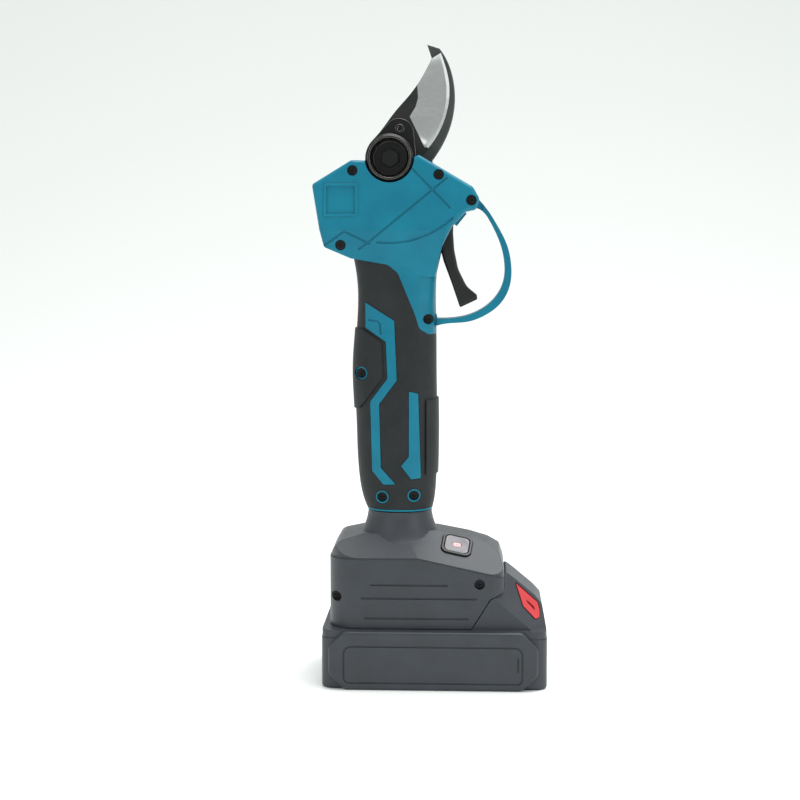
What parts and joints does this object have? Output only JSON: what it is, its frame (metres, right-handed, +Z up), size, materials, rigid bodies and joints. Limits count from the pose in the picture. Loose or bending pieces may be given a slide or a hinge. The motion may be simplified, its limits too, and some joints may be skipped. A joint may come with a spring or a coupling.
{
  "type": "cordless pruning shears",
  "caption": "Upright handheld electric pruner: curved bypass blades over a teal geared head, slim rubber-gripped handle with trigger and guard, on a slide-on battery base.",
  "frame": {"origin": "on the flat bottom of the battery, under the motor's axis", "axes": "+Z up along the handle to the blades, +X towards the trigger and the battery's sliding-off side, -Y the side with the pivot nut"},
  "size_m": [0.118, 0.075, 0.3216],
  "materials": {
    "teal_shell": "satin moulded",
    "grip_rubber": "soft matte",
    "grey_case": "fine texture",
    "black_plastic": "satin",
    "red_button": "satin",
    "lens": "clear",
    "blade_steel": "ground and dark coated",
    "black_steel": "black oxide",
    "steel": "machined",
    "cast_bracket": "cast",
    "bronze": "sintered",
    "board": "lacquered",
    "copper": "drawn",
    "cell_wrap": "shrink wrap",
    "magnet": "plated"
  },
  "bodies": {
    "tool": {"housing_near": "teal_shell", "housing_far": "teal_shell", "trigger_guard": "teal_shell", "grip_near": "grip_rubber", "grip_far": "grip_rubber", "head_screws": "black_steel", "handle_screws": "black_steel", "base_screws": "black_steel", "fixed_blade": "blade_steel", "fixed_blade_bolts": "black_steel", "gear_cover": "black_plastic", "head_bracket": "cast_bracket", "pivot_bush": "bronze", "output_bearing": "steel", "ring_gear": "steel", "gearbox_plate": "steel", "motor_can": "black_steel", "motor_end_bell": "black_plastic", "motor_stator": "copper", "controller_board": "board", "power_leads": "copper", "trigger_sensor_board": "board", "trigger_pin": "steel", "trigger_spring": "steel", "base_shell_near": "grey_case", "base_shell_far": "grey_case", "rail_plate": "black_plastic", "terminal_block": "black_plastic", "terminal_blades": "copper", "button_bezel": "grey_case", "switch_board": "board"},
    "blade": {"moving_blade": "blade_steel", "lock_plate": "black_steel", "lock_screw": "black_steel", "pivot_shaft": "steel", "pivot_nut": "black_steel", "sector_gear": "steel"},
    "output": {"planet_carrier": "steel", "bevel_pinion": "steel", "bearing_inner_race": "steel"},
    "planet_1": {"planet_gear_1": "steel"},
    "planet_2": {"planet_gear_2": "steel"},
    "planet_3": {"planet_gear_3": "steel"},
    "rotor": {"motor_rotor": "magnet", "motor_shaft": "steel", "sun_gear": "steel"},
    "trigger": {"trigger": "black_plastic", "trigger_magnet": "magnet"},
    "power_button": {"power_button": "black_plastic", "button_lens": "lens"},
    "battery": {"battery_tray": "grey_case", "battery_lid": "grey_case", "battery_cells": "cell_wrap", "cell_straps": "copper", "battery_board": "board", "battery_contacts": "copper", "battery_screws": "black_steel", "release_springs": "steel"},
    "release_near": {"release_button_near": "red_button"},
    "release_far": {"release_button_far": "red_button"}
  },
  "joints": [
    {"name": "blade_swing", "type": "hinge", "parent": "tool", "child": "blade", "pos_m": [0, 0, 0.265], "axis": [0, -1, 0], "range_deg": [0, 46]},
    {"name": "output_spin", "type": "hinge", "parent": "tool", "child": "output", "pos_m": [0, 0, 0.24], "axis": [0, 0, -1], "range_deg": [0, 157.7]},
    {"name": "planet_1_spin", "type": "hinge", "parent": "output", "child": "planet_1", "pos_m": [0, 0.0072, 0.2205], "axis": [0, 0, 1], "range_deg": [0, 471.1]},
    {"name": "planet_2_spin", "type": "hinge", "parent": "output", "child": "planet_2", "pos_m": [-0.00624, -0.0036, 0.2205], "axis": [0, 0, 1], "range_deg": [0, 471.1]},
    {"name": "planet_3_spin", "type": "hinge", "parent": "output", "child": "planet_3", "pos_m": [0.00624, -0.0036, 0.2205], "axis": [0, 0, 1], "range_deg": [0, 471.1]},
    {"name": "rotor_spin", "type": "hinge", "parent": "tool", "child": "rotor", "pos_m": [0, 0, 0.19], "axis": [0, 0, -1], "range_deg": [0, 627.8]},
    {"name": "trigger_pull", "type": "hinge", "parent": "tool", "child": "trigger", "pos_m": [0.027, 0, 0.2354], "axis": [0, 1, 0], "range_deg": [0, 12], "stiffness_Nm_per_rad": 0.5, "springref_deg": -5.73},
    {"name": "power_press", "type": "slide", "parent": "tool", "child": "power_button", "axis": [-0.1798, 0.5239, -0.8326], "range_m": [0, 0.0008], "stiffness_N_per_m": 2000, "springref_m": -0.0005},
    {"name": "battery_slide", "type": "slide", "parent": "tool", "child": "battery", "axis": [1, 0, 0], "range_m": [0, 0.075]},
    {"name": "release_press_near", "type": "slide", "parent": "battery", "child": "release_near", "axis": [0, 1, 0], "range_m": [0, 0.0018], "stiffness_N_per_m": 1500, "springref_m": -0.002, "deforming": ["release_springs"]},
    {"name": "release_press_far", "type": "slide", "parent": "battery", "child": "release_far", "axis": [0, -1, 0], "range_m": [0, 0.0018], "stiffness_N_per_m": 1500, "springref_m": -0.002}
  ],
  "couplings": [
    {"joint": "output_spin", "follows": "blade_swing", "ratio": 3.3846},
    {"joint": "rotor_spin", "follows": "blade_swing", "ratio": 13.538},
    {"joint": "planet_1_spin", "follows": "blade_swing", "ratio": 10.154},
    {"joint": "planet_2_spin", "follows": "blade_swing", "ratio": 10.154},
    {"joint": "planet_3_spin", "follows": "blade_swing", "ratio": 10.154}
  ]
}
